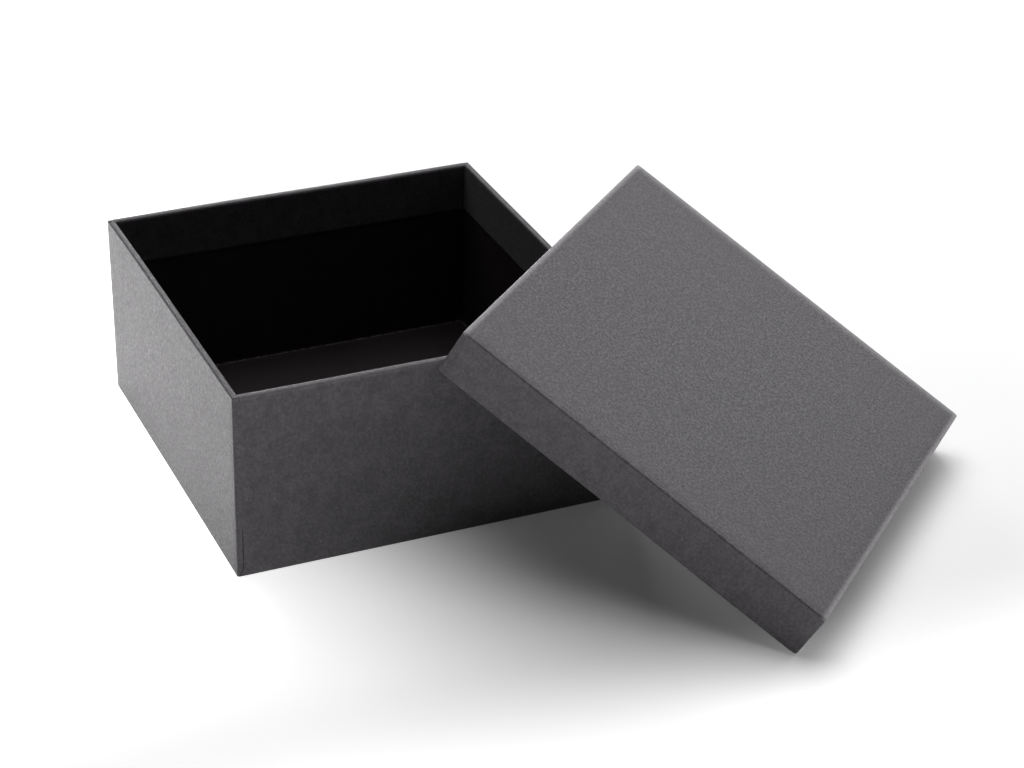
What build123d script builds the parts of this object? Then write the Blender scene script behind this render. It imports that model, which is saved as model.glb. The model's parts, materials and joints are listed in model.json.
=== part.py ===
from build123d import *
from math import asin, atan2, cos, degrees, hypot, radians, sin
import os

os.makedirs("parts", exist_ok=True)

# A two-piece rigid box, base and lift-off lid, made of greyboard panels covered in dark paper.
# The base stands at the origin and is open. The lid is off it and leans on the base's front
# right corner, with the lower edge of its skirt at the floor.
# Frame: origin in the middle of the base's underside, +Z up, front wall towards -Y.
# Millimetres.

# ---- driving dimensions ----
base_size = 150.0  # outside width and depth of the covered base
base_height = 72.5
lid_size = 156.4  # outside width and depth of the covered lid
lid_height = 20.0

board = 2.0  # greyboard panels
paper = 0.2  # outer wrap, with its glue
stay = 0.1  # tape that holds a corner of the board panels together
lining = 0.15  # paper glued on the inside

seam_inset = 2.4  # from a corner to the edge of the front or back covering panel
seam_rise = 3.6  # height over which that edge slants out to the corner, at the fold
tab_width = 16.0  # strip of wrap carried round a corner, under the covering panel
stay_leg = 12.0  # each leg of a corner stay
stay_margin = 1.5  # from the end of a stay to the rim, and to the floor board's face
lining_margin = 1.0  # wall lining stops this far below the top of the boards
base_turn_in = 19.0  # wrap carried over the rim and down inside
lid_turn_in = 17.3  # all the way down to the lid's lining

# ---- where the lid lies ----
lid_turn = -48.5  # degrees about Z, of the direction in which the lid slopes down
corner_from_middle = (-38.5, -9.0)  # where the base's corner meets the inside of the lid
corner_gap = 0.15  # clearance between that corner and the lining of the lid
floor_gap = 0.2  # the lowest edge of the skirt clears the floor

# The lid slopes so that its low edge is at the floor and the base's rim corner at its lining.
reach = lid_size / 2 - corner_from_middle[0]
depth_below = lid_height - (paper + board + lining + corner_gap)
lid_tilt = degrees(asin((base_height - floor_gap) / hypot(reach, depth_below)) - atan2(depth_below, reach))

downhill = Vector(
    cos(radians(lid_turn)) * cos(radians(lid_tilt)),
    sin(radians(lid_turn)) * cos(radians(lid_tilt)),
    -sin(radians(lid_tilt)),
)
across = Vector(-sin(radians(lid_turn)), cos(radians(lid_turn)), 0)
lid_up = downhill.cross(across)
rim_corner = Vector(base_size / 2, -base_size / 2, base_height)
lid_middle = (
    rim_corner
    - downhill * corner_from_middle[0]
    - across * corner_from_middle[1]
    + lid_up * (lid_height - depth_below)
)

# Both halves are built alike, from the outer face of the large panel towards the rim. The
# lid's walls run down from that face, so its plane points down and its X is turned round.
base_plane = Plane.XY
lid_plane = Plane(origin=lid_middle, x_dir=downhill * -1, z_dir=lid_up * -1)
base_sides = ("front", "right", "back", "left")
lid_sides = ("front", "left", "back", "right")


def write(part, name):
    """Label one finished piece and write its STEP file."""
    part.label = name
    export_step(part, f"parts/{name}.step")


def side_plane(home, number, size):
    """The outer face of one wall: X along the wall, Y towards the rim, Z outwards."""
    turned = home.location * Location((0, 0, 0), (0, 0, 90 * number))
    return Plane(turned * Location((0, -size / 2, 0), (90, 0, 0)))


def covering(number):
    """True for the front and back, whose wrap lies over the tabs of the other two."""
    return number % 2 == 0


def board_outside(number, size):
    """From the middle of the box to the outer face of one wall board."""
    under = paper + stay + (paper if covering(number) else 0)
    return size / 2 - under


def board_inside(number, size):
    """From the middle of the box to the inner face of one wall board."""
    return board_outside(number, size) - board


def make_panel_board(name, home, size):
    """The large board: the base's floor or the lid's top, under the ends of the walls."""
    with BuildPart() as panel:
        with BuildSketch(home.offset(paper)):
            Rectangle(2 * board_outside(1, size), 2 * board_outside(0, size))
        extrude(amount=board)
    write(panel.part, name)


def make_wall_boards(prefix, home, size, height, sides):
    """Four straight boards on the large one. Left and right run full depth, the others between."""
    for number, side in enumerate(sides):
        if covering(number):
            length = 2 * board_inside(1, size)
        else:
            length = 2 * board_outside(0, size)
        middle = -(board_outside(number, size) + board_inside(number, size)) / 2
        turned = Plane(home.offset(paper + board).location * Location((0, 0, 0), (0, 0, 90 * number)))
        with BuildPart() as wall:
            with BuildSketch(turned):
                with Locations((0, middle)):
                    Rectangle(length, board)
            extrude(amount=height - 2 * paper - board)
        write(wall.part, f"{prefix}_board_{side}")


def make_corner_stays(prefix, home, size, height, sides):
    """Folded tapes round the outside of the four corners of the boards."""
    low = paper + board + stay_margin
    tall = height - paper - stay_margin - low
    long_face = board_outside(1, size)
    short_face = board_outside(0, size)
    for number, side in enumerate(sides):
        to_x = 1 if number in (1, 2) else -1
        to_y = -1 if number in (0, 1) else 1
        fold = (to_x * (long_face + stay), to_y * (short_face + stay))
        with BuildPart() as tape:
            with BuildSketch(home.offset(low)):
                with Locations((fold[0] - to_x * stay_leg / 2, fold[1] - to_y * stay / 2)):
                    Rectangle(stay_leg, stay)
                with Locations((fold[0] - to_x * stay / 2, fold[1] - to_y * stay_leg / 2)):
                    Rectangle(stay, stay_leg)
            extrude(amount=tall)
        write(tape.part, f"{prefix}_corner_stay_{side}_{sides[number - 1]}")


def make_wrap(name, home, size, height, turn_in):
    """One sheet: panel, four walls, corner tabs, and the turn-ins over the rim."""
    inner = {0: board_inside(0, size) - lining, 1: board_inside(1, size) - lining}
    with BuildPart() as wrap:
        with BuildSketch(home):
            Rectangle(size, size)
        extrude(amount=paper)
        for number in range(4):
            face = side_plane(home, number, size)
            corner = size / 2
            edge = corner - seam_inset
            own_inner = inner[number % 2]
            next_inner = inner[(number + 1) % 2]
            if covering(number):
                outline = [
                    (-corner, 0),
                    (corner, 0),
                    (edge, seam_rise),
                    (edge, height),
                    (-edge, height),
                    (-edge, seam_rise),
                ]
                rim_length = 2 * (next_inner - paper)
                turn_in_length = rim_length
            else:
                inside_cover = corner - paper
                outline = [
                    (-inside_cover, 0),
                    (inside_cover, 0),
                    (inside_cover, height),
                    (-inside_cover, height),
                ]
                rim_length = 2 * inside_cover
                turn_in_length = 2 * next_inner
            with BuildSketch(face):
                with BuildLine():
                    Polyline(*outline, close=True)
                make_face()
            extrude(amount=-paper)
            rim = Plane(home.offset(height).location * Location((0, 0, 0), (0, 0, 90 * number)))
            with BuildSketch(rim):
                with Locations((0, -(size / 2 + own_inner - paper) / 2)):
                    Rectangle(rim_length, size / 2 - own_inner + paper)
            extrude(amount=-paper)
            with BuildSketch(rim):
                with Locations((0, -(own_inner - paper / 2))):
                    Rectangle(turn_in_length, paper)
            extrude(amount=-turn_in)
            if covering(number):
                tab_middle = corner - tab_width / 2
                with BuildSketch(face.offset(-paper)):
                    with Locations((tab_middle, height / 2), (-tab_middle, height / 2)):
                        Rectangle(tab_width, height)
                extrude(amount=-paper)
    write(wrap.part, name)


def make_wall_lining(name, home, size, height):
    """A band of paper round the inside of the walls, under the turn-ins."""
    low = paper + board
    with BuildPart() as band:
        with BuildSketch(home.offset(low)):
            Rectangle(2 * board_inside(1, size), 2 * board_inside(0, size))
            Rectangle(
                2 * (board_inside(1, size) - lining),
                2 * (board_inside(0, size) - lining),
                mode=Mode.SUBTRACT,
            )
        extrude(amount=height - paper - lining_margin - low)
    write(band.part, name)


def make_panel_lining(name, home, size):
    """The sheet on the inner face of the large board, between the wall linings."""
    with BuildPart() as sheet:
        with BuildSketch(home.offset(paper + board)):
            Rectangle(
                2 * (board_inside(1, size) - lining),
                2 * (board_inside(0, size) - lining),
            )
        extrude(amount=lining)
    write(sheet.part, name)


# ---- base ----
make_panel_board("base_board_floor", base_plane, base_size)
make_wall_boards("base", base_plane, base_size, base_height, base_sides)
make_corner_stays("base", base_plane, base_size, base_height, base_sides)
make_wrap("base_wrap", base_plane, base_size, base_height, base_turn_in)
make_wall_lining("base_wall_lining", base_plane, base_size, base_height)
make_panel_lining("base_floor_lining", base_plane, base_size)

# ---- lid ----
make_panel_board("lid_board_top", lid_plane, lid_size)
make_wall_boards("lid", lid_plane, lid_size, lid_height, lid_sides)
make_corner_stays("lid", lid_plane, lid_size, lid_height, lid_sides)
make_wrap("lid_wrap", lid_plane, lid_size, lid_height, lid_turn_in)
make_panel_lining("lid_top_lining", lid_plane, lid_size)
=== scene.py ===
"""Looks of a two-piece rigid box: a paper-covered board base and its lift-off lid.

Each half is made as a box maker makes it: greyboard panels, corner stays of gummed tape, one
sheet of charcoal paper over the outside and round the rim, and black paper inside. A half is
modelled standing on its large panel, with its rim up, and is then laid where the frame has it.
"""

import json
import logging
import math
from collections.abc import Callable
from dataclasses import dataclass, replace
from enum import Enum

import bmesh
import bpy
from mathutils import Matrix, Vector


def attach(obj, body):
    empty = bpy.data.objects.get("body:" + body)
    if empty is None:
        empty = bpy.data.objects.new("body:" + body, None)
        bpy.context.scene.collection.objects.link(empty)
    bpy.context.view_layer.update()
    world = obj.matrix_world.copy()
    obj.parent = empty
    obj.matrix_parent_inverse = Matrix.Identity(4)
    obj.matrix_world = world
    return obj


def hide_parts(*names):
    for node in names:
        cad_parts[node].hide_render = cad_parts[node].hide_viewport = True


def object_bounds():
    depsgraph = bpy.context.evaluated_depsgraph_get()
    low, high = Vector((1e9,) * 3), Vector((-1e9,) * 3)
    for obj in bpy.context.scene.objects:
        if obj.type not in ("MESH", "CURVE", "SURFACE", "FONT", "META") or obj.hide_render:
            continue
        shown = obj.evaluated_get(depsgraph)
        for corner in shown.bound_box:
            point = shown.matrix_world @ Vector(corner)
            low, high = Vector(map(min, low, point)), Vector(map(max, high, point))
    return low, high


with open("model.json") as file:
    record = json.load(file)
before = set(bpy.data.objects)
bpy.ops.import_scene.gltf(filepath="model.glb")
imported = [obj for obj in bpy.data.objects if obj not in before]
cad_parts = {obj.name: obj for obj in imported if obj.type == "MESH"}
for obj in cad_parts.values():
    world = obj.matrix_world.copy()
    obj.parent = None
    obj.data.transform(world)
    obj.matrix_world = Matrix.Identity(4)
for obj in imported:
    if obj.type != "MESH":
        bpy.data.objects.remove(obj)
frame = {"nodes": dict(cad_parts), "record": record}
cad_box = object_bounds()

log = logging.getLogger("rigid_box")

MM = 0.001
NEAR = 0.01 * MM  # two places closer than this are the same place
UP = Vector((0, 0, 1))
SMOOTH_ANGLE = math.radians(38)  # a fold sharper than this keeps its crease
PITCH = 9 * MM  # between the cuts that let a board or a lining bend
EDGES = Vector((4, 4, 4)) * MM  # those cuts keep this far from its edges
SIDE_EDGES = Vector((4, 4, 0)) * MM  # the same for a piece that lies flat


# ---- Shader maths ----


@dataclass(frozen=True)
class Wire:
    """One output socket, which can be used in a Python expression."""

    tree: "ShaderTree"
    socket: bpy.types.NodeSocket

    def _math(self, operation: str, *values: "Wire | float") -> "Wire":
        """Adds one Math node on these values."""
        return self.tree.add("ShaderNodeMath", {"operation": operation}, *values)

    def __add__(self, other: "Wire | float") -> "Wire":
        """Gives self + other."""
        return self._math("ADD", self, other)

    def __sub__(self, other: "Wire | float") -> "Wire":
        """Gives self - other."""
        return self._math("SUBTRACT", self, other)

    def __rsub__(self, other: float) -> "Wire":
        """Gives other - self."""
        return self._math("SUBTRACT", other, self)

    def __mul__(self, other: "Wire | float") -> "Wire":
        """Gives self * other."""
        return self._math("MULTIPLY", self, other)

    def __abs__(self) -> "Wire":
        """Gives the value without its sign."""
        return self._math("ABSOLUTE", self)

    def within(self, low: float, high: float) -> "Wire":
        """Gives the value, kept from low to high."""
        return self._math("MINIMUM", self._math("MAXIMUM", self, low), high)

    def spread(self, low: float, high: float, to_low: float = 0.0, to_high: float = 1.0) -> "Wire":
        """Stretches a range of values smoothly onto another one.

        Args:
            low: The value that becomes to_low, as does all below it.
            high: The value that becomes to_high, as does all above it.
            to_low: The new value at low.
            to_high: The new value at high.

        Returns:
            The stretched value.
        """
        settings = {"interpolation_type": "SMOOTHSTEP"}
        return self.tree.add("ShaderNodeMapRange", settings, self, low, high, to_low, to_high)


class ShaderTree:
    """A material's nodes: one Principled BSDF, and the place that every pattern follows."""

    def __init__(self, name: str, laid: Matrix) -> None:
        """Makes a material.

        Args:
            name: The material's name.
            laid: Where the object lies. The place is in its own frame, in metres.
        """
        self.material = bpy.data.materials.new(name)
        self.material.use_nodes = True
        self.shader = next(n for n in self.material.node_tree.nodes if n.type == "BSDF_PRINCIPLED")
        back = laid.inverted()
        here = self.add("ShaderNodeTexCoord", {"output": "Object"})
        move, turn = tuple(back.translation), tuple(back.to_euler("XYZ"))
        self.place = self.add("ShaderNodeMapping", {"vector_type": "POINT"}, here, move, turn)

    def add(self, kind: str, settings: dict | None = None, *values: object, **named: object) -> Wire:
        """Adds any node.

        Args:
            kind: The node's type.
            settings: The node's own properties, which are set before its sockets are.
            values: A value or a Wire for each input socket, in order. None leaves one as it is.
            named: The same for input sockets by name, with _ for a space.

        Returns:
            The node's first output, or the one that settings names under "output".
        """
        node = self.material.node_tree.nodes.new(kind)
        chosen = dict(settings or {})
        output = chosen.pop("output", None)
        for name, value in chosen.items():
            setattr(node, name, value)
        for socket, value in zip([s for s in node.inputs if s.enabled], values):
            self.feed(socket, value)
        for name, value in named.items():
            self.feed(node.inputs[name.replace("_", " ")], value)
        if output is not None:
            return Wire(self, node.outputs[output])
        return Wire(self, next(s for s in node.outputs if s.enabled))

    def feed(self, socket: bpy.types.NodeSocket, value: object) -> None:
        """Links a Wire to a socket, or sets the socket to a value."""
        if isinstance(value, Wire):
            self.material.node_tree.links.new(value.socket, socket)
        elif value is not None:
            is_colour = socket.type == "RGBA" and len(value) == 3
            socket.default_value = (*value, 1.0) if is_colour else value

    def mix(self, share: Wire | float, first: object, second: object) -> Wire:
        """Mixes two colours.

        Args:
            share: How much of the second colour there is, from 0 to 1.
            first: A colour, or the Wire of one.
            second: A colour, or the Wire of one.

        Returns:
            The mixed colour.
        """
        return self.add("ShaderNodeMix", {"data_type": "RGBA"}, share, first, second)

    def noise(
        self,
        size: float,
        detail: float,
        rough: float = 0.5,
        squeeze: tuple[float, float, float] | None = None,
    ) -> Wire:
        """Cloudy noise about 0.5.

        Args:
            size: The size of one cloud, in metres.
            detail: How many finer octaves are laid over it.
            rough: How strong those are.
            squeeze: Less than 1 along an axis draws the clouds out along it.

        Returns:
            The noise value.
        """
        place = self.place
        if squeeze:
            place = self.add("ShaderNodeVectorMath", {"operation": "MULTIPLY"}, place, squeeze)
        return self.add("ShaderNodeTexNoise", None, place, Scale=1.0 / size, Detail=detail, Roughness=rough)

    def parts(self) -> tuple[Wire, Wire, Wire]:
        """The place's X, Y and Z."""
        return tuple(self.add("ShaderNodeSeparateXYZ", {"output": axis}, self.place) for axis in "XYZ")

    def bump(self, height: Wire, distance: float) -> Wire:
        """A normal that follows a relief.

        Args:
            height: The relief, from 0 to 1.
            distance: How high the relief is, in metres.

        Returns:
            The normal.
        """
        return self.add("ShaderNodeBump", None, Strength=1.0, Distance=distance, Height=height)

    def surface(self, **sockets: object) -> bpy.types.Material:
        """Feeds the Principled BSDF's sockets, named with _ for a space, and gives the material."""
        for name, value in sockets.items():
            self.feed(self.shader.inputs[name.replace("_", " ")], value)
        return self.material


# ---- Finishes ----

Colour = tuple[float, float, float]


def swing(weights: tuple[float, ...], *noises: Wire) -> Wire:
    """The sum of how far each noise is from 0.5, times its weight."""
    first, *others = ((noise - 0.5) * weight for noise, weight in zip(noises, weights))
    return sum(others, first)


@dataclass(frozen=True)
class PaintedEdgeLight:
    """How strongly light and shade are painted along the wrap's edges, from 0 to 1."""

    seam_shade: float = 1.0  # how dark the painted shade along the seams is
    back_edge_highlight: float = 0.3  # how strongly a highlight is painted along the large panel's back edge
    rim: float = 0.0  # how strongly a highlight is painted on the outside just below the rim


@dataclass(frozen=True)
class WrapMarks:
    """Where the wrap's painted shade lines and painted highlights are, in a half's own frame, in metres."""

    wall: float  # from the middle of the half to its walls
    under: float  # from the middle of the half to the boards
    fold: float  # the walls start at this height, above the fold round the large panel
    rim: float
    across: float  # from the middle of the half to a seam
    rise: float  # below this height a seam slants out
    slant: float  # this far, to the corner
    seam_top: float  # the painted seam shade shows up to here
    inside: float  # from the middle of the half to the turn-in
    turned_edge: float  # the height where the turn-in ends
    # how strongly light and shade are painted along the wrap's edges
    painted_light: PaintedEdgeLight
    width: float = 0.2 * MM  # of the painted shade line along a seam
    pinch: float = 2.4 * MM  # the painted seam shade shows again this far below the rim
    side_band: float = 2.6 * MM  # how wide the painted highlight along the left and right edges is
    back_band: float = 7.0 * MM  # how wide the painted highlight along the back edge is
    rim_band: float = 1.8 * MM  # how far down from the rim the painted highlight reaches
    tab: float = 1.6 * MM  # how wide the painted highlight on a tab in an inside corner is
    # how strongly the highlight on a tab is painted
    tab_highlight: float = 0.5
    edge_shade_depth: float = 0.9  # how dark the painted shade under the turned-in edge is
    pinch_shade_depth: float = 0.6  # how much of the painted seam shade shows below the rim

    def indoors(self, distance: Wire) -> Wire:
        """1 on the inside of a wall, and 0 beyond it."""
        return 1.0 - distance.spread(self.inside + 0.2 * MM, self.inside + 0.4 * MM)

    def painted_shade_lines(self, tree: ShaderTree) -> Wire:
        """Paints shade as dark lines in the gaps along the seams and under the turned-in edge.

        Args:
            tree: The material's nodes.

        Returns:
            How dark the painted shade is, from 0 to 1.
        """
        x, y, z = tree.parts()
        x, y = abs(x), abs(y)
        # painted shade in the gap beside each seam's cut edge: it slants out at the bottom, fades upwards,
        # and comes back just below the rim
        low = (self.rise - z).within(0.0, self.rise) * (self.slant / self.rise)
        line = 1.0 - abs(x - low - self.across).spread(self.width * 0.5, self.width * 1.6)
        on_wall = y.spread(self.wall - 1.0 * MM, self.wall - 0.6 * MM)
        on_wall = on_wall * z.spread(self.fold * 0.5, self.fold)
        shown = 1.0 - z.spread(self.seam_top * 0.6, self.seam_top)
        pinched = z.spread(self.rim - self.pinch, self.rim - self.pinch * 0.5) * self.pinch_shade_depth
        patchy = tree.noise(3.0 * MM, 2.0).spread(0.3, 0.6, 0.6, 1.0)
        seam_shade = line * on_wall * (shown + pinched) * patchy * self.painted_light.seam_shade
        # painted shade under the turned-in edge, on the inside of the walls
        edge = 1.0 - abs(z - self.turned_edge).spread(0.2 * MM, 0.7 * MM)
        return seam_shade + edge * self.indoors(y) * self.indoors(x) * self.edge_shade_depth

    def painted_highlight(self, tree: ShaderTree) -> Wire:
        """Paints highlights as paler paper along the large panel's edges, on the outside just below the
        rim, and on a tab in an inside corner.

        Args:
            tree: The material's nodes.

        Returns:
            How strong the painted highlight is, from 0 to 1.
        """
        x, along, z = tree.parts()
        x, y = abs(x), abs(along)
        patchy = tree.noise(2.2 * MM, 3.0).spread(0.3, 0.7, 0.8, 1.0)
        # painted highlights along the large panel's left, right and back edges, where the rounded edges
        # catch the light
        sides = x.spread(self.wall - self.side_band, self.wall - 0.2 * MM)
        back = along.spread(self.wall - self.back_band, self.wall)
        panel = sides + back * back * self.painted_light.back_edge_highlight
        panel = panel * (1.0 - z.spread(self.fold * 0.7, self.fold * 1.2))
        # a painted highlight on the angled tab in an inside corner
        tab = x.spread(self.inside - self.tab, self.inside - self.tab + 0.3 * MM)
        tab = tab * (1.0 - x.spread(self.inside - 0.2 * MM, self.inside)) * self.indoors(y)
        tab = tab * z.spread(self.turned_edge, self.turned_edge + 1.0 * MM)
        # a painted highlight on the outside just below the rim
        outside = (x.spread(self.under, self.wall) + y.spread(self.under, self.wall)).within(0.0, 1.0)
        rim = z.spread(self.rim - self.rim_band, self.rim - 0.3 * MM) * outside * self.painted_light.rim
        return ((panel + rim) * patchy + tab * self.tab_highlight).within(0.0, 1.0)


@dataclass(frozen=True)
class WrapFinish:
    """Uncoated charcoal paper: cloudy, with a fine fibrous face and a dry sheen."""

    marks: WrapMarks
    # the colour of the painted shade in the seams and under the turned-in edge
    cut: Colour = (0.006, 0.0055, 0.006)
    # the colour of the painted highlights on the edges, below the rim and on the tabs
    painted_highlight: Colour = (0.30, 0.285, 0.30)
    dark: Colour = (0.042, 0.038, 0.0425)
    pale: Colour = (0.099, 0.0915, 0.1005)
    fleck: Colour = (0.20, 0.195, 0.20)
    roughness: float = 0.55
    specular: float = 0.26
    gloss: float = 0.22  # of the pressed fibres, which varies
    gloss_roughness: float = 0.5
    sheen: float = 0.2
    sheen_roughness: float = 0.3
    relief: float = 0.16 * MM
    cloud: float = 6.0 * MM
    grain: float = 0.95 * MM
    nap: float = 1.1 * MM
    middle: float = 0.49  # where the tone is without its clouds, fibres and grain
    tone: tuple[float, ...] = (0.95, 0.5, 1.0)  # how far those change it
    shine: tuple[float, ...] = (0.7, 2.1, 0.6)  # how far clouds, nap and grain change the gloss
    rough: tuple[float, ...] = (0.5, 0.9)  # how far clouds and grain change the roughness
    most_gloss: float = 0.6
    fleck_share: float = 0.3

    def dress(self, tree: ShaderTree) -> bpy.types.Material:
        """Makes the paper's material.

        Args:
            tree: The material's nodes.

        Returns:
            The material.
        """
        clouds = tree.noise(self.cloud, 4.0, 0.65)
        fibres = tree.noise(self.grain, 2.0, 0.6, (1.0, 1.0, 0.3))
        grain = tree.noise(self.grain, 3.0, 0.7)
        nap = tree.noise(self.nap, 2.0, 0.6)
        tone = swing(self.tone, clouds, fibres, grain) + self.middle
        body = tree.mix(tone.within(0.0, 1.0), self.dark, self.pale)
        flecks = tree.noise(0.9 * MM, 0.0).spread(0.79, 0.84)
        flecked = tree.mix(flecks * self.fleck_share, body, self.fleck)
        # paints the highlights on the edges, below the rim and on the tabs
        highlighted = tree.mix(self.marks.painted_highlight(tree), flecked, self.painted_highlight)
        gloss = swing(self.shine, clouds, nap, grain) + self.gloss
        return tree.surface(
            # paints the shade lines along the seams and under the turned-in edge
            Base_Color=tree.mix(self.marks.painted_shade_lines(tree), highlighted, self.cut),
            Roughness=swing(self.rough, clouds, grain) + self.roughness,
            Coat_Weight=gloss.within(0.0, self.most_gloss),
            Coat_Roughness=self.gloss_roughness,
            Normal=tree.bump(grain * 0.7 + fibres * 0.3, self.relief),
            Specular_IOR_Level=self.specular,
            Sheen_Weight=self.sheen,
            Sheen_Roughness=self.sheen_roughness,
        )


@dataclass(frozen=True)
class LiningFinish:
    """Thin black paper, smoother than the wrap, with a highlight painted along the edge where the large
    panel meets the walls.
    """

    reach: float  # from the middle of the half to the walls' lining
    level: float  # of the large panel's lining
    dark: Colour = (0.0110, 0.0078, 0.0092)
    pale: Colour = (0.0205, 0.0148, 0.0174)
    lit_wall_dark: Colour = (0.019, 0.0145, 0.0165)  # on the walls: painted lighter, standing in for the light that reaches them
    lit_wall_pale: Colour = (0.033, 0.0255, 0.029)
    # the colour of the highlight painted along the large panel's edge
    highlighted: Colour = (0.16, 0.135, 0.145)
    # how strongly that highlight is painted
    painted_light: float = 0.4
    tone: tuple[float, ...] = (1.2, 1.2)  # how far clouds and grain change it
    roughness: float = 0.55
    specular: float = 0.22
    cloud: float = 9.0 * MM
    grain: float = 0.6 * MM
    relief: float = 0.02 * MM

    def dress(self, tree: ShaderTree) -> bpy.types.Material:
        """Makes the lining's material.

        Args:
            tree: The material's nodes.

        Returns:
            The material.
        """
        clouds = tree.noise(self.cloud, 3.0, 0.6)
        grain = tree.noise(self.grain, 3.0, 0.7)
        tone = swing(self.tone, clouds, grain) + 0.5
        body = tree.mix(tone.within(0.0, 1.0), self.dark, self.pale)
        x, y, z = tree.parts()
        # a painted highlight along the edge where the large panel meets the walls, standing in for light
        # caught by its turned-up edge
        start, end = self.reach - 1.1 * MM, self.reach - 0.5 * MM
        highlight_border = (abs(x).spread(start, end) + abs(y).spread(start, end)).within(0.0, 1.0)
        highlight_border = highlight_border * (1.0 - z.spread(self.level + 0.4 * MM, self.level + 1.0 * MM))
        highlight_border = highlight_border * tree.noise(1.6 * MM, 3.0, 0.7).spread(0.42, 0.62)
        return tree.surface(
            Base_Color=tree.mix(highlight_border * self.painted_light, body, self.highlighted),
            Roughness=self.roughness,
            Normal=tree.bump(grain, self.relief),
            Specular_IOR_Level=self.specular,
        )


@dataclass(frozen=True)
class BoardFinish:
    """Greyboard pressed from waste paper, with dark flecks."""

    colour: Colour = (0.27, 0.25, 0.225)
    pale: Colour = (0.39, 0.365, 0.33)
    fleck: Colour = (0.08, 0.07, 0.07)
    roughness: float = 0.9
    specular: float = 0.2
    pulp: float = 1.6 * MM
    contrast: float = 1.8
    fleck_share: float = 0.6
    relief: float = 0.08 * MM

    def dress(self, tree: ShaderTree) -> bpy.types.Material:
        """Makes the board's material.

        Args:
            tree: The material's nodes.

        Returns:
            The material.
        """
        pulp = tree.noise(self.pulp, 4.0, 0.7)
        flecks = tree.noise(0.9 * MM, 1.0, squeeze=(1.0, 0.4, 1.0)).spread(0.68, 0.76)
        body = tree.mix(((pulp - 0.5) * self.contrast + 0.5).within(0.0, 1.0), self.colour, self.pale)
        return tree.surface(
            Base_Color=tree.mix(flecks * self.fleck_share, body, self.fleck),
            Roughness=self.roughness,
            Normal=tree.bump(pulp, self.relief),
            Specular_IOR_Level=self.specular,
        )


@dataclass(frozen=True)
class TapeFinish:
    """Brown gummed paper tape, with fibres up its length."""

    colour: Colour = (0.36, 0.25, 0.15)
    pale: Colour = (0.50, 0.37, 0.24)
    roughness: float = 0.7
    fibre: float = 0.7 * MM
    contrast: float = 2.0
    relief: float = 0.03 * MM

    def dress(self, tree: ShaderTree) -> bpy.types.Material:
        """Makes the tape's material.

        Args:
            tree: The material's nodes.

        Returns:
            The material.
        """
        fibres = tree.noise(self.fibre, 3.0, 0.65, (1.0, 1.0, 0.15))
        tone = ((fibres - 0.5) * self.contrast + 0.5).within(0.0, 1.0)
        return tree.surface(
            Base_Color=tree.mix(tone, self.colour, self.pale),
            Roughness=self.roughness,
            Normal=tree.bump(fibres, self.relief),
        )


# ---- Working on a mesh ----


class Pick(Enum):
    """What a pick selects."""

    VERTEX = "VERT"
    EDGE = "EDGE"
    FACE = "FACE"


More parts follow.
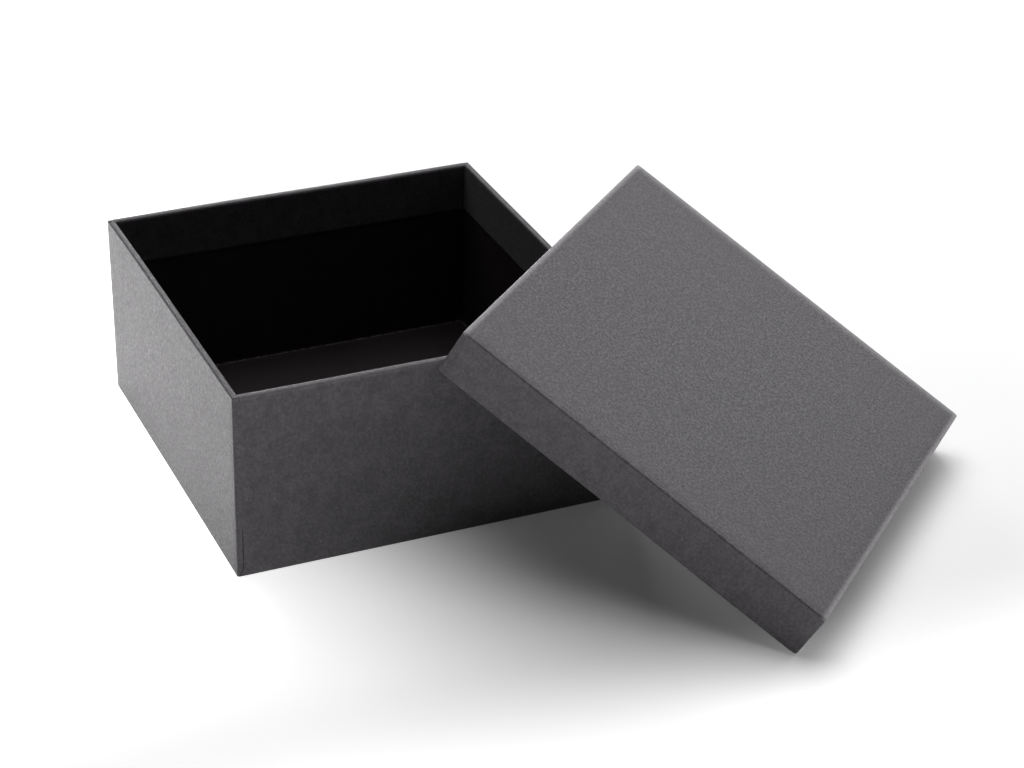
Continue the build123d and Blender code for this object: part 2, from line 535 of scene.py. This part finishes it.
class Bench:
    """One mesh in edit mode, shaped by operators on what is picked by its place."""

    def __init__(self, name: str, low: Vector, high: Vector) -> None:
        """Starts from a box.

        Args:
            name: The piece's name.
            low: The box's lowest corner, in metres.
            high: The box's highest corner.
        """
        bpy.ops.object.select_all(action="DESELECT")
        bpy.ops.mesh.primitive_cube_add(size=1.0, location=(low + high) / 2, scale=high - low)
        self.piece = bpy.context.object
        self.piece.name = name
        bpy.ops.object.transform_apply(location=True, rotation=True, scale=True)
        bpy.ops.object.mode_set(mode="EDIT")

    def pick(self, what: Pick, test: Callable[..., bool]) -> int:
        """Selects just the elements that pass a test.

        Args:
            what: What to select.
            test: Gets a vertex's place, an edge's two places, or a face's middle and normal.

        Returns:
            How many were selected.
        """
        bpy.ops.mesh.select_mode(type=what.value)
        bpy.ops.mesh.select_all(action="DESELECT")
        mesh = bmesh.from_edit_mesh(self.piece.data)
        if what is Pick.VERTEX:
            chosen = [v for v in mesh.verts if test(v.co)]
        elif what is Pick.EDGE:
            chosen = [e for e in mesh.edges if test(e.verts[0].co, e.verts[1].co)]
        else:
            mesh.normal_update()
            chosen = [f for f in mesh.faces if test(f.calc_center_median(), f.normal)]
        for each in chosen:
            each.select_set(True)
        bmesh.update_edit_mesh(self.piece.data)
        return len(chosen)

    def delete_faces(self, test: Callable[[Vector, Vector], bool]) -> None:
        """Deletes the faces that pass a test on their middle and normal."""
        if self.pick(Pick.FACE, test):
            bpy.ops.mesh.delete(type="FACE")

    def add_band(self, low: Vector, high: Vector, rounding: float, steps: int) -> None:
        """Adds four upright walls, with rounded corners.

        Args:
            low: Their lowest corner, in metres.
            high: Their highest corner.
            rounding: The radius of the upright corners.
            steps: How many faces each of those has.
        """
        mesh = bmesh.from_edit_mesh(self.piece.data)
        others = {tuple(round(c / NEAR) for c in v.co) for v in mesh.verts}
        bpy.ops.mesh.select_all(action="DESELECT")
        bpy.ops.mesh.primitive_cube_add(size=1.0, location=(low + high) / 2, scale=high - low)

        def is_new(place: Vector) -> bool:
            return tuple(round(c / NEAR) for c in place) not in others

        self.delete_faces(lambda middle, normal: abs(normal.z) > 0.5 and is_cap(middle, low, high))
        self.bevel(rounding, steps, lambda a, b: is_new(a) and is_new(b) and is_upright(a, b))

    def bevel(self, width: float, steps: int, test: Callable[..., bool]) -> None:
        """Rounds the edges that pass a test.

        Args:
            width: How far the rounding reaches from the edge, in metres.
            steps: How many faces it has.
            test: Gets an edge's two places.
        """
        if self.pick(Pick.EDGE, test):
            bpy.ops.mesh.bevel(offset=width, segments=steps, affect="EDGES", clamp_overlap=False)

    def crown(self, level: float, rise: float, width: float, reach: Vector) -> None:
        """Lets the middle of the large panel stand proud, so that its edges look pressed down.

        Args:
            level: The height of the panel's outer face, which looks down.
            rise: How far its middle stands out, in metres.
            width: How wide the pressed edge is.
            reach: From the middle of the panel to its edges, along X and Y.
        """
        if not rise:
            return
        steps = 6
        self.pick(Pick.FACE, lambda middle, normal: abs(middle.z - level) < NEAR and normal.z < -0.9)
        for step in range(steps):
            ends = (step / steps, (step + 1) / steps)
            done, now = (math.sin(math.pi / 2 * end) for end in ends)
            before, after = (reach - Vector((1, 1)) * width * end for end in ends)
            bpy.ops.mesh.extrude_region_move()
            bpy.ops.transform.resize(
                value=(after.x / before.x, after.y / before.y, 1), center_override=(0, 0, level)
            )
            bpy.ops.transform.translate(value=(0, 0, (done - now) * rise))

    def bridge(self, test: Callable[[Vector, Vector], bool]) -> None:
        """Joins two edge loops, picked by a test on an edge's two places, with a strip of faces."""
        self.pick(Pick.EDGE, test)
        bpy.ops.mesh.bridge_edge_loops()

    def cut(self, place: Vector, normal: Vector, test: Callable[..., bool] | None = None) -> None:
        """Cuts faces along a plane and keeps both sides.

        Args:
            place: A point of the plane.
            normal: The plane's normal.
            test: Gets a face's middle and normal. Without it, all faces are cut.
        """
        if self.pick(Pick.FACE, test or (lambda middle, normal: True)):
            bpy.ops.mesh.bisect(plane_co=place, plane_no=normal)

    def grid(self, low: Vector, high: Vector, pitch: float = PITCH) -> None:
        """Cuts the whole mesh along evenly spaced planes, so that it can bend.

        Args:
            low: The lowest corner of the region to cut.
            high: The highest corner of that region.
            pitch: The largest spacing, in metres.
        """
        for axis in range(3):
            span = high[axis] - low[axis]
            count = math.ceil(span / pitch)
            if count < 2:
                continue
            normal = Vector((axis == 0, axis == 1, axis == 2))
            for step in range(count + 1):
                place = Vector(low)
                place[axis] = low[axis] + span * step / count
                self.cut(place, normal)

    def move(self, by: Vector, test: Callable[[Vector], bool]) -> None:
        """Moves the vertices that pass a test."""
        if self.pick(Pick.VERTEX, test):
            bpy.ops.transform.translate(value=by)

    def outward(self, inside: bool = False) -> None:
        """Merges doubles and turns every face outwards, or inwards."""
        bpy.ops.mesh.select_all(action="SELECT")
        bpy.ops.mesh.remove_doubles(threshold=NEAR)
        bpy.ops.mesh.normals_make_consistent(inside=inside)

    def finish(self, thickness: float = 0.0) -> bpy.types.Object:
        """Leaves edit mode.

        Args:
            thickness: What an open sheet is given, behind its outer face, in metres.

        Returns:
            The piece.
        """
        bpy.ops.mesh.select_all(action="DESELECT")
        bpy.ops.object.mode_set(mode="OBJECT")
        if thickness:
            choose(self.piece)
            solid = self.piece.modifiers.new("thickness", "SOLIDIFY")
            solid.thickness = thickness
            solid.offset = -1.0
            solid.use_rim = True
            bpy.ops.object.modifier_apply(modifier=solid.name)
        return self.piece


def is_upright(a: Vector, b: Vector) -> bool:
    """True for an edge that runs straight up."""
    return (a.xy - b.xy).length < NEAR < abs(a.z - b.z)


def is_cap(middle: Vector, low: Vector, high: Vector) -> bool:
    """True for the top or bottom face of a box, which is given by its corners."""
    centre = (low + high) / 2
    level = abs(middle.z - low.z) < NEAR or abs(middle.z - high.z) < NEAR
    return level and (middle.xy - centre.xy).length < NEAR


def choose(piece: bpy.types.Object) -> None:
    """Makes one piece the only selected one, and the active one."""
    bpy.ops.object.select_all(action="DESELECT")
    piece.select_set(True)
    bpy.context.view_layer.objects.active = piece


# ---- The box ----


@dataclass(frozen=True)
class Folds:
    """How round the paper lies over the edges of the boards, in metres."""

    panel: float = 0.35 * MM  # round the large panel
    drop: float = 0.0  # how far the large panel's edges are pressed down
    soft: float = 2.5 * MM  # over this width
    corner: float = 0.45 * MM  # at the four upright corners
    rim_outer: float = 0.85 * MM
    rim_inner: float = 0.9 * MM
    inner_corner: float = 0.35 * MM


@dataclass(frozen=True)
class Seam:
    """Where the front and back of the wrap end beside a corner, in metres."""

    inset: float = 2.4 * MM  # from the corner, on the outside
    inside_inset: float = 1.4 * MM  # from the corner, on the turn-in
    rise: float = 3.6 * MM  # over this height it slants out to the corner
    inside_step: float = 0.1 * MM
    edge: float = 0.10 * MM  # width of the cut edge
    gap: float = 0.22 * MM  # from the foot of the edge to where the tab is level again
    groove: float = 0.14 * MM
    groove_share: float = 0.33  # of the height, from the bottom
    spare: float = 0.05 * MM  # between the level tab and the rounded corner


@dataclass(frozen=True)
class Settling:
    """How far the walls and rim stray from true, in metres."""

    bow: tuple[float, float, float, float]  # outwards at the middle of walls 0 to 3
    rim_wave: float = 0.10 * MM
    wall_wave: float = 0.10 * MM
    sag: float = 0.0  # of the middle of the large panel
    lean: tuple[float, float, float, float] = (0.0,) * 4  # outwards at the rim's corners, from -X -Y
    lift: tuple[float, float, float, float] = (0.0,) * 4  # upwards at the same corners
    seed: float = 0.0


@dataclass
class Half:
    """The base or the lid, modelled standing on its large panel, with its rim up."""

    name: str  # of its body, which starts the names of its nodes
    panel: str  # what the large panel is called
    sides: tuple[str, str, str, str]  # what walls 0 to 3 are called: at -Y, +X, +Y and -X
    laid: Matrix  # where the half lies
    turn_in: float  # how far the wrap is carried down inside, in metres
    settling: Settling
    # how strongly light and shade are painted along the wrap's edges
    painted_light: PaintedEdgeLight
    folds: Folds = Folds()
    seam: Seam = Seam()

    def __post_init__(self) -> None:
        """Reads the half's sizes from the frame."""
        _, high = self.own_box(f"{self.name}_wrap")
        self.half = high.x
        self.height = high.z
        board_low, board_high = self.own_box(f"{self.name}_board_{self.panel}")
        self.paper = board_low.z
        self.board = board_high.z - board_low.z
        lining_low, lining_high = self.own_box(f"{self.name}_{self.panel}_lining")
        self.lining = lining_high.z - lining_low.z
        self.cavity = Vector((lining_high.x, lining_high.y))
        self.floor = lining_high.z
        self.under = self.half - self.paper  # outside of the tabs
        self.rim_x = self.cavity.x - self.paper
        self.rim_y = self.cavity.y - self.paper

    def own_box(self, node: str) -> tuple[Vector, Vector]:
        """A CAD node's lowest and highest corner in the half's own frame.

        Args:
            node: The node's name.

        Returns:
            The two corners, in metres.
        """
        back = self.laid.inverted()
        places = [back @ v.co for v in frame["nodes"][node].data.vertices]
        low = Vector([min(p[axis] for p in places) for axis in range(3)])
        high = Vector([max(p[axis] for p in places) for axis in range(3)])
        return low, high

    def stray(self, place: Vector) -> Vector:
        """How far a place of the half has moved from true.

        Args:
            place: In the half's own frame, in metres.

        Returns:
            The move, in metres.
        """
        settling = self.settling
        front, right, back, left = settling.bow
        across = place.x / self.half
        along = place.y / self.half
        up = max(0.0, min(1.0, place.z / self.height))
        hump_x = max(0.0, 1 - across * across)
        hump_y = max(0.0, 1 - along * along)
        wave = settling.wall_wave * up
        seed = settling.seed
        by = Vector((0, 0, 0))
        by.x = (right * max(0.0, across) - left * max(0.0, -across)) * hump_y * up * up
        by.y = (back * max(0.0, along) - front * max(0.0, -along)) * hump_x * up * up
        by.x += wave * math.sin(4.1 * along + 2.0 * up + seed) * across
        by.y += wave * math.sin(3.7 * across + 1.7 * up + 2.0 + seed) * along
        ripple = math.sin(5.3 * across + seed) * math.cos(2.9 * along) + math.sin(4.7 * along + 1.0 + seed)
        by.z = settling.rim_wave * ripple * up + settling.sag * (1 - up) * hump_x * hump_y
        corners = ((-1, -1), (1, -1), (1, 1), (-1, 1))
        for (side, end), lean, lift in zip(corners, settling.lean, settling.lift):
            share = up * (1 + side * across) * (1 + end * along) / 4
            by += Vector((side * lean, end * lean, lift)) * share
        return by

    def settle(self, piece: bpy.types.Object) -> None:
        """Bends a piece with the whole half, as boards and paper warp together.

        Args:
            piece: The piece, in the half's own frame.
        """
        cage_size = Vector((2 * self.half, 2 * self.half, self.height))
        middle = Vector((0, 0, self.height / 2))
        bpy.ops.object.select_all(action="DESELECT")
        bpy.ops.object.add(type="LATTICE", location=middle, scale=cage_size)
        cage = bpy.context.object
        cage.scale = cage_size
        cage.data.points_u, cage.data.points_v, cage.data.points_w = 9, 9, 4
        for point in cage.data.points:
            by = self.stray(point.co * cage_size + middle)
            for axis in range(3):
                point.co_deform[axis] = point.co[axis] + by[axis] / cage_size[axis]
        choose(piece)
        warp = piece.modifiers.new("settling", "LATTICE")
        warp.object = cage
        bpy.ops.object.modifier_apply(modifier=warp.name)
        bpy.data.objects.remove(cage)

    def place(self, piece: bpy.types.Object, finish: bpy.types.Material, slot: str, *nodes: str) -> None:
        """Bends a finished piece with its half, lays it where the frame has it, and dresses it.

        Args:
            piece: The piece, in the half's own frame.
            finish: Its material.
            slot: The record's material slot. Not used.
            nodes: The CAD nodes that it stands for.
        """
        self.settle(piece)
        piece.matrix_world = self.laid
        choose(piece)
        bpy.ops.object.transform_apply(location=True, rotation=True, scale=True)
        bpy.ops.object.shade_smooth_by_angle(angle=SMOOTH_ANGLE)
        piece.data.materials.clear()
        piece.data.materials.append(finish)
        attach(piece, self.name)
        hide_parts(*nodes)
        log.info("%s: %d faces, for %s", piece.name, len(piece.data.polygons), ", ".join(nodes))

    # ---- the wrap ----

    def make_wrap(self) -> bpy.types.Object:
        """The outer sheet: large panel, four walls, rim and turn-ins, with its seams.

        Returns:
            The sheet, in the half's own frame.
        """
        folds = self.folds
        top = self.height
        low = Vector((-self.half, -self.under, folds.drop))
        bench = Bench(f"{self.name}_wrap_sheet", low, Vector((self.half, self.under, top)))
        bench.delete_faces(lambda middle, normal: normal.z > 0.5)
        bench.bevel(folds.corner, 6, is_upright)
        bench.bevel(folds.panel, 7, lambda a, b: max(a.z, b.z) < low.z + NEAR)
        flat = Vector((self.half, self.under)) - Vector((1, 1)) * folds.panel
        bench.crown(low.z, folds.drop, folds.soft, flat)
        inner_y = self.rim_y + self.seam.inside_step
        sunk = top - 2 * MM  # a bridge twists between loops that have the same middle
        bench.add_band(
            Vector((-self.rim_x, -inner_y, top - self.turn_in)),
            Vector((self.rim_x, inner_y, sunk)),
            folds.inner_corner,
            6,
        )

        def at_top(a: Vector, b: Vector) -> bool:
            return min(a.z, b.z) > top - NEAR

        def outer(p: Vector) -> bool:
            return abs(p.x) > self.rim_x + MM or abs(p.y) > self.rim_y + MM

        def at_gap(a: Vector, b: Vector) -> bool:
            return at_top(a, b) or (min(a.z, b.z) > sunk - NEAR and not (outer(a) or outer(b)))

        bench.bridge(at_gap)
        bench.move(UP * (top - sunk), lambda p: abs(p.z - sunk) < NEAR)
        bench.outward()
        bench.bevel(folds.rim_outer, 5, lambda a, b: at_top(a, b) and outer(a) and outer(b))
        bench.bevel(folds.rim_inner, 4, lambda a, b: at_top(a, b) and not outer(a) and not outer(b))
        self.cut_seams(bench)
        reach = self.half - 5 * MM
        above_fold = max(self.seam.rise, folds.panel + 0.5 * MM)
        below_rim = top - 1.5 * MM
        bench.grid(Vector((-reach, -reach, above_fold)), Vector((reach, reach, below_rim)), 7 * MM)
        self.raise_covers(bench)
        return bench.finish(self.paper)

    def seam_columns(self) -> tuple[float, float, float]:
        """Where the edge, its foot and the level tab are across the half, before they are moved."""
        edge = self.rim_x - self.seam.inside_inset
        foot = edge + self.seam.edge
        return edge, foot, foot + self.seam.gap

    def seam_slant(self) -> float:
        """How far a seam slants out at its bottom, until just short of the rounded corner."""
        edge, _, level = self.seam_columns()
        return self.seam.inset - self.folds.corner - (level - edge) - self.seam.spare

    def wrap_marks(self) -> WrapMarks:
        """Where the wrap's painted shade lines and painted highlights are."""
        return WrapMarks(
            wall=self.half,
            under=self.under,
            fold=self.folds.panel + self.folds.drop,
            rim=self.height,
            across=self.half - self.seam.inset + self.seam.edge,
            rise=self.seam.rise,
            slant=self.seam_slant(),
            seam_top=self.seam.groove_share * self.height,
            inside=self.rim_x,
            turned_edge=self.height - self.turn_in,
            painted_light=self.painted_light,
        )

    def cut_seams(self, bench: Bench) -> None:
        """Cuts the three lines of each seam into the front and back of the wrap."""

        def of_cover(middle: Vector, normal: Vector) -> bool:
            return abs(middle.y) > self.rim_y - MM and middle.z > self.folds.drop + NEAR

        for side in (-1, 1):
            for across in self.seam_columns():
                bench.cut(Vector((side * across, 0, 0)), Vector((1, 0, 0)), of_cover)

    def raise_covers(self, bench: Bench) -> None:
        """Lays the front and back over the tabs, by one paper, and slants their ends."""
        seam = self.seam
        edge, foot, level = self.seam_columns()
        wall_middle = (self.under + self.rim_y) / 2
        slide = self.half - seam.inset - edge
        slant = self.seam_slant()
        for end in (-1, 1):

            def outside(p: Vector) -> bool:
                return end * p.y > wall_middle

            def cover(p: Vector) -> bool:
                return abs(p.x) < edge + NEAR and outside(p)

            def turned_in(p: Vector) -> bool:
                on_step = abs(end * p.y - self.rim_y - seam.inside_step) < NEAR
                return abs(p.x) < edge + NEAR and on_step and p.z < self.height - NEAR

            def groove(p: Vector) -> bool:
                low = p.z < seam.groove_share * self.height
                return low and abs(abs(p.x) - foot) < NEAR and outside(p)

            bench.move(Vector((0, end * self.paper, 0)), cover)
            bench.move(Vector((0, -end * seam.inside_step, 0)), turned_in)
            bench.move(Vector((0, -end * seam.groove, 0)), groove)
            for side in (-1, 1):

                def on_seam(p: Vector) -> bool:
                    return edge - NEAR < side * p.x < level + NEAR and outside(p)

                def below(p: Vector) -> bool:
                    on_slid = edge + slide - NEAR < side * p.x < level + slide + NEAR
                    return on_slid and p.z < seam.rise - NEAR and outside(p)

                bench.move(Vector((side * slide, 0, 0)), on_seam)
                bench.move(Vector((side * slant, 0, 0)), below)

    # ---- boards, tapes and linings ----

    def make_panel_board(self) -> bpy.types.Object:
        """The large board.

        Returns:
            The board, in the half's own frame.
        """
        low, high = self.own_box(f"{self.name}_board_{self.panel}")
        folds = self.folds
        low.z += folds.drop
        bench = Bench(f"{self.name}_{self.panel}_greyboard", low, high)
        bench.bevel(folds.corner - self.paper, 4, is_upright)
        bench.bevel(folds.panel - self.paper, 5, lambda a, b: max(a.z, b.z) < low.z + NEAR)
        bench.crown(low.z, folds.drop, folds.soft, high.xy - Vector((1, 1)) * (folds.panel - self.paper))
        bench.grid(low + SIDE_EDGES, high - SIDE_EDGES)
        bench.outward()
        return bench.finish()

    def make_wall_board(self, number: int) -> bpy.types.Object:
        """One wall board, with its outer edges rounded by pressing.

        Args:
            number: The wall's number.

        Returns:
            The board, in the half's own frame.
        """
        side = self.sides[number]
        low, high = self.own_box(f"{self.name}_board_{side}")
        folds = self.folds
        bench = Bench(f"{self.name}_{side}_greyboard", low, high)
        outwards = Vector((0, -1, 0))
        outwards.rotate(Matrix.Rotation(number * math.pi / 2, 3, "Z"))
        outside = max(low.dot(outwards), high.dot(outwards))

        def at_rim(a: Vector, b: Vector) -> bool:
            return min(a.z, b.z) > high.z - NEAR

        def outer(p: Vector) -> bool:
            return p.dot(outwards) > outside - NEAR

        def inner(p: Vector) -> bool:
            return p.dot(outwards) < outside - self.board + NEAR

        def on_end(p: Vector) -> bool:
            return abs(p.y) > high.y - NEAR and p.dot(outwards) > outside - folds.rim_outer

        def up_the_corner(a: Vector, b: Vector) -> bool:
            return abs(a.z - b.z) > NEAR and on_end(a) and on_end(b)

        bench.bevel(folds.rim_outer - self.paper, 4, lambda a, b: at_rim(a, b) and outer(a) and outer(b))
        bench.bevel(folds.rim_inner - self.paper, 3, lambda a, b: at_rim(a, b) and inner(a) and inner(b))
        if number % 2:
            bench.bevel(folds.corner - self.paper, 4, up_the_corner)
        bench.grid(low + EDGES, high - EDGES)
        bench.outward()
        return bench.finish()

    def make_stay(self, number: int) -> bpy.types.Object:
        """One folded corner tape.

        Args:
            number: The number of the wall on the corner's near side, counted round.

        Returns:
            The tape, in the half's own frame.
        """
        side, other = self.sides[number], self.sides[number - 1]
        low, high = self.own_box(f"{self.name}_corner_stay_{side}_{other}")
        middle = (low + high) / 2
        bench = Bench(f"{self.name}_{side}_{other}_tape", low, high)
        outwards = Vector((math.copysign(1, middle.x), math.copysign(1, middle.y), 0))
        bench.delete_faces(lambda at, normal: normal.dot(outwards) < 0.5)
        fold = Vector((max(abs(low.x), abs(high.x)), max(abs(low.y), abs(high.y))))

        def on_fold(p: Vector) -> bool:
            return abs(abs(p.x) - fold.x) < NEAR and abs(abs(p.y) - fold.y) < NEAR

        bench.bevel(self.folds.corner - self.paper, 5, lambda a, b: on_fold(a) and on_fold(b))
        bench.grid(low, high)
        bench.outward()
        _, board_high = self.own_box(f"{self.name}_board_{self.panel}")
        return bench.finish(fold.x - board_high.x)

    def make_wall_lining(self) -> bpy.types.Object:
        """The band of paper round the inside of the walls.

        Returns:
            The band, in the half's own frame.
        """
        low, high = self.own_box(f"{self.name}_wall_lining")
        inset = Vector((self.lining, self.lining, 0))
        bench = Bench(f"{self.name}_wall_paper", low + inset, high - inset)
        bench.delete_faces(lambda middle, normal: abs(normal.z) > 0.5)
        bench.bevel(self.folds.inner_corner, 4, is_upright)
        bench.grid(low + EDGES, high - EDGES)
        bench.outward(inside=True)
        return bench.finish(self.lining)

    def make_panel_lining(self) -> bpy.types.Object:
        """The paper on the large board, with its edges turned up the walls a little.

        Returns:
            The sheet, in the half's own frame.
        """
        low, high = self.own_box(f"{self.name}_{self.panel}_lining")
        gap, turned_up, fold = 0.02 * MM, 1.2 * MM, 0.4 * MM
        inset = Vector((self.lining + gap, self.lining + gap, 0))
        bottom = Vector((low.x, low.y, high.z)) + inset
        bench = Bench(f"{self.name}_{self.panel}_paper", bottom, high - inset + UP * turned_up)
        bench.delete_faces(lambda middle, normal: normal.z > 0.5)
        bench.bevel(fold, 3, lambda a, b: max(a.z, b.z) < bottom.z + NEAR)
        bench.grid(low + SIDE_EDGES, high - SIDE_EDGES)
        bench.outward(inside=True)
        return bench.finish(self.lining)

    def build(self) -> None:
        """Makes, lays and dresses every piece of the half."""
        name = self.name

        def nodes(what: str) -> ShaderTree:
            return ShaderTree(f"{name}_{what}", self.laid)

        wrap = WrapFinish(self.wrap_marks()).dress(nodes("charcoal_paper"))
        lining = LiningFinish(self.cavity.x, self.floor)
        # the walls' lining is a lighter copy, painted to stand in for the light that reaches the walls
        lit_lining = replace(lining, dark=lining.lit_wall_dark, pale=lining.lit_wall_pale)
        black, lit_wall_black = lining.dress(nodes("black_paper")), lit_lining.dress(nodes("lit_wall_black_paper"))
        grey = BoardFinish().dress(nodes("greyboard"))
        brown = TapeFinish().dress(nodes("gummed_tape"))
        self.place(self.make_wrap(), wrap, "charcoal_wrap_paper", f"{name}_wrap")
        self.place(self.make_panel_board(), grey, "greyboard", f"{name}_board_{self.panel}")
        for number, side in enumerate(self.sides):
            self.place(self.make_wall_board(number), grey, "greyboard", f"{name}_board_{side}")
            node = f"{name}_corner_stay_{side}_{self.sides[number - 1]}"
            self.place(self.make_stay(number), brown, "stay_tape", node)
        self.place(self.make_panel_lining(), black, "black_lining_paper", f"{name}_{self.panel}_lining")
        if f"{name}_wall_lining" in frame["nodes"]:
            self.place(self.make_wall_lining(), lit_wall_black, "black_lining_paper", f"{name}_wall_lining")


def lid_place() -> Matrix:
    """Where the lid lies. Its own frame has its rim up, so it is laid upside down.

    Returns:
        The matrix from the lid's own frame to the frame of the whole.
    """
    mount = next(m for m in frame["record"]["mounts"] if m["name"] == "lid_top")
    outwards = Vector(mount["axis"]).normalized()
    across = UP.cross(outwards).normalized()
    downhill = across.cross(outwards)
    turned = Matrix((-downhill, across, -outwards)).transposed().to_4x4()
    return Matrix.Translation(Vector(mount["pos_m"])) @ turned


# ---- The studio ----


@dataclass(frozen=True)
class Lamp:
    """One soft area light."""

    name: str
    place: tuple[float, float, float]
    aim: tuple[float, float, float]
    size: float
    power: float

    def hang(self) -> bpy.types.Object:
        """Adds the light to the scene and returns it."""
        bpy.ops.object.select_all(action="DESELECT")
        bpy.ops.object.light_add(type="AREA", location=self.place)
        lamp = bpy.context.object
        lamp.name = self.name
        lamp.data.shape = "SQUARE"
        lamp.data.size = self.size
        lamp.data.energy = self.power
        towards = Vector(self.aim) - Vector(self.place)
        lamp.rotation_mode = "QUATERNION"
        lamp.rotation_quaternion = towards.to_track_quat("-Z", "Y")
        return lamp


@dataclass(frozen=True)
class Studio:
    """A white floor that glows most on its left and in front, soft lights, and the camera."""

    floor_size: float = 12.0
    floor_colour: Colour = (0.90, 0.90, 0.90)
    floor_roughness: float = 0.9
    glow: float = 0.05  # of the whole floor
    glow_left: float = 1.5  # added on the left
    glow_front: float = 1.45  # added in front
    left: tuple[float, float] = (-0.03, 0.10)  # from where to where the left glow grows, in metres
    near: tuple[float, float] = (-0.02, 0.18)  # from where to where it fades again to the front
    near_fade: float = 0.85
    front: tuple[float, float] = (0.16, 0.34)  # from where to where the front glow grows
    world: float = 0.004
    camera_place: tuple[float, float, float] = (-0.3100, -0.8184, 0.5117)
    camera_aim: tuple[float, float, float] = (0.0578, -0.0124, 0.0189)
    camera_roll: float = math.radians(1.597)
    lens: float = 92.15
    sensor: float = 36.0
    lamps: tuple[Lamp, ...] = (
        Lamp("overhead_softbox", (0.1, 0.35, 1.25), (0.05, 0.0, 0.0), 1.2, 14.5),
        Lamp("back_softbox", (0.3, 1.4, 0.25), (0.05, 0.0, 0.04), 0.45, 6.0),
        Lamp("right_softbox", (1.2, 0.2, 0.7), (0.05, 0.0, 0.0), 1.0, 5.6),
        Lamp("right_back_softbox", (0.9, 0.6, 0.9), (0.05, 0.0, 0.0), 1.0, 4.6),
    )

    def set_up(self) -> None:
        """Makes the floor, world, lights and camera."""
        bpy.context.scene.view_settings.view_transform = "Standard"
        self._lay_floor()
        self._light_world()
        for lamp in self.lamps:
            lamp.hang()
        self._stand_camera()

    def _lay_floor(self) -> None:
        """Adds the white floor, just under the object."""
        bpy.ops.object.select_all(action="DESELECT")
        bpy.ops.mesh.primitive_plane_add(size=self.floor_size, location=(0, 0, cad_box[0].z))
        floor = bpy.context.object
        floor.name = "studio_floor"
        tree = ShaderTree("white_sweep", Matrix.Identity(4))
        x, y, _ = tree.parts()
        leftwards, frontwards = x * -1.0, y * -1.0
        left_glow = leftwards.spread(*self.left) * (1.0 - frontwards.spread(*self.near) * self.near_fade)
        front_glow = frontwards.spread(*self.front) * self.glow_front
        white = tree.surface(
            Base_Color=self.floor_colour,
            Roughness=self.floor_roughness,
            Emission_Color=left_glow * self.glow_left + front_glow + self.glow,
            Emission_Strength=1.0,
        )
        floor.data.materials.append(white)

    def _light_world(self) -> None:
        """Surrounds the scene with an even white."""
        world = bpy.data.worlds.new("white_surround")
        world.use_nodes = True
        background = next(n for n in world.node_tree.nodes if n.type == "BACKGROUND")
        background.inputs["Color"].default_value = (1.0, 1.0, 1.0, 1.0)
        background.inputs["Strength"].default_value = self.world
        bpy.context.scene.world = world

    def _stand_camera(self) -> None:
        """Stands the camera in front, to the left and above."""
        place = Vector(self.camera_place)
        look = (Vector(self.camera_aim) - place).normalized()
        level = look.cross(UP).normalized()
        right = level * math.cos(self.camera_roll) + level.cross(look) * math.sin(self.camera_roll)
        turned = Matrix((right, right.cross(look), -look)).transposed().to_4x4()
        bpy.ops.object.select_all(action="DESELECT")
        bpy.ops.object.camera_add()
        camera = bpy.context.object
        camera.matrix_world = Matrix.Translation(place) @ turned
        camera.data.lens = self.lens
        camera.data.sensor_width = self.sensor
        bpy.context.scene.camera = camera


def main() -> None:
    """Builds and dresses both halves, then the studio."""
    logging.basicConfig(level=logging.INFO, format="%(message)s")
    Half(
        name="base",
        panel="floor",
        sides=("front", "right", "back", "left"),
        laid=Matrix.Identity(4),
        settling=Settling(
            bow=(0.25 * MM, 0.2 * MM, 0.2 * MM, -0.2 * MM),
            lean=(0.3 * MM, 0.0, 0.6 * MM, 0.5 * MM),
            lift=(0.0, 0.0, 0.6 * MM, 0.2 * MM),
        ),
        turn_in=19.0 * MM,
        # a highlight painted on the outside just below the rim
        painted_light=PaintedEdgeLight(rim=0.22),
    ).build()
    Half(
        name="lid",
        panel="top",
        sides=("front", "left", "back", "right"),
        laid=lid_place(),
        folds=Folds(panel=0.75 * MM, drop=0.2 * MM, corner=0.85 * MM),
        settling=Settling(bow=(0.2 * MM, 0.1 * MM, 0.2 * MM, 0.1 * MM), sag=0.2 * MM, seed=1.3),
        turn_in=17.3 * MM,
        # fainter painted seam shade, and a strong highlight painted along the back edge
        painted_light=PaintedEdgeLight(seam_shade=0.3, back_edge_highlight=0.85),
    ).build()
    Studio().set_up()


if __name__ == "__main__":
    main()
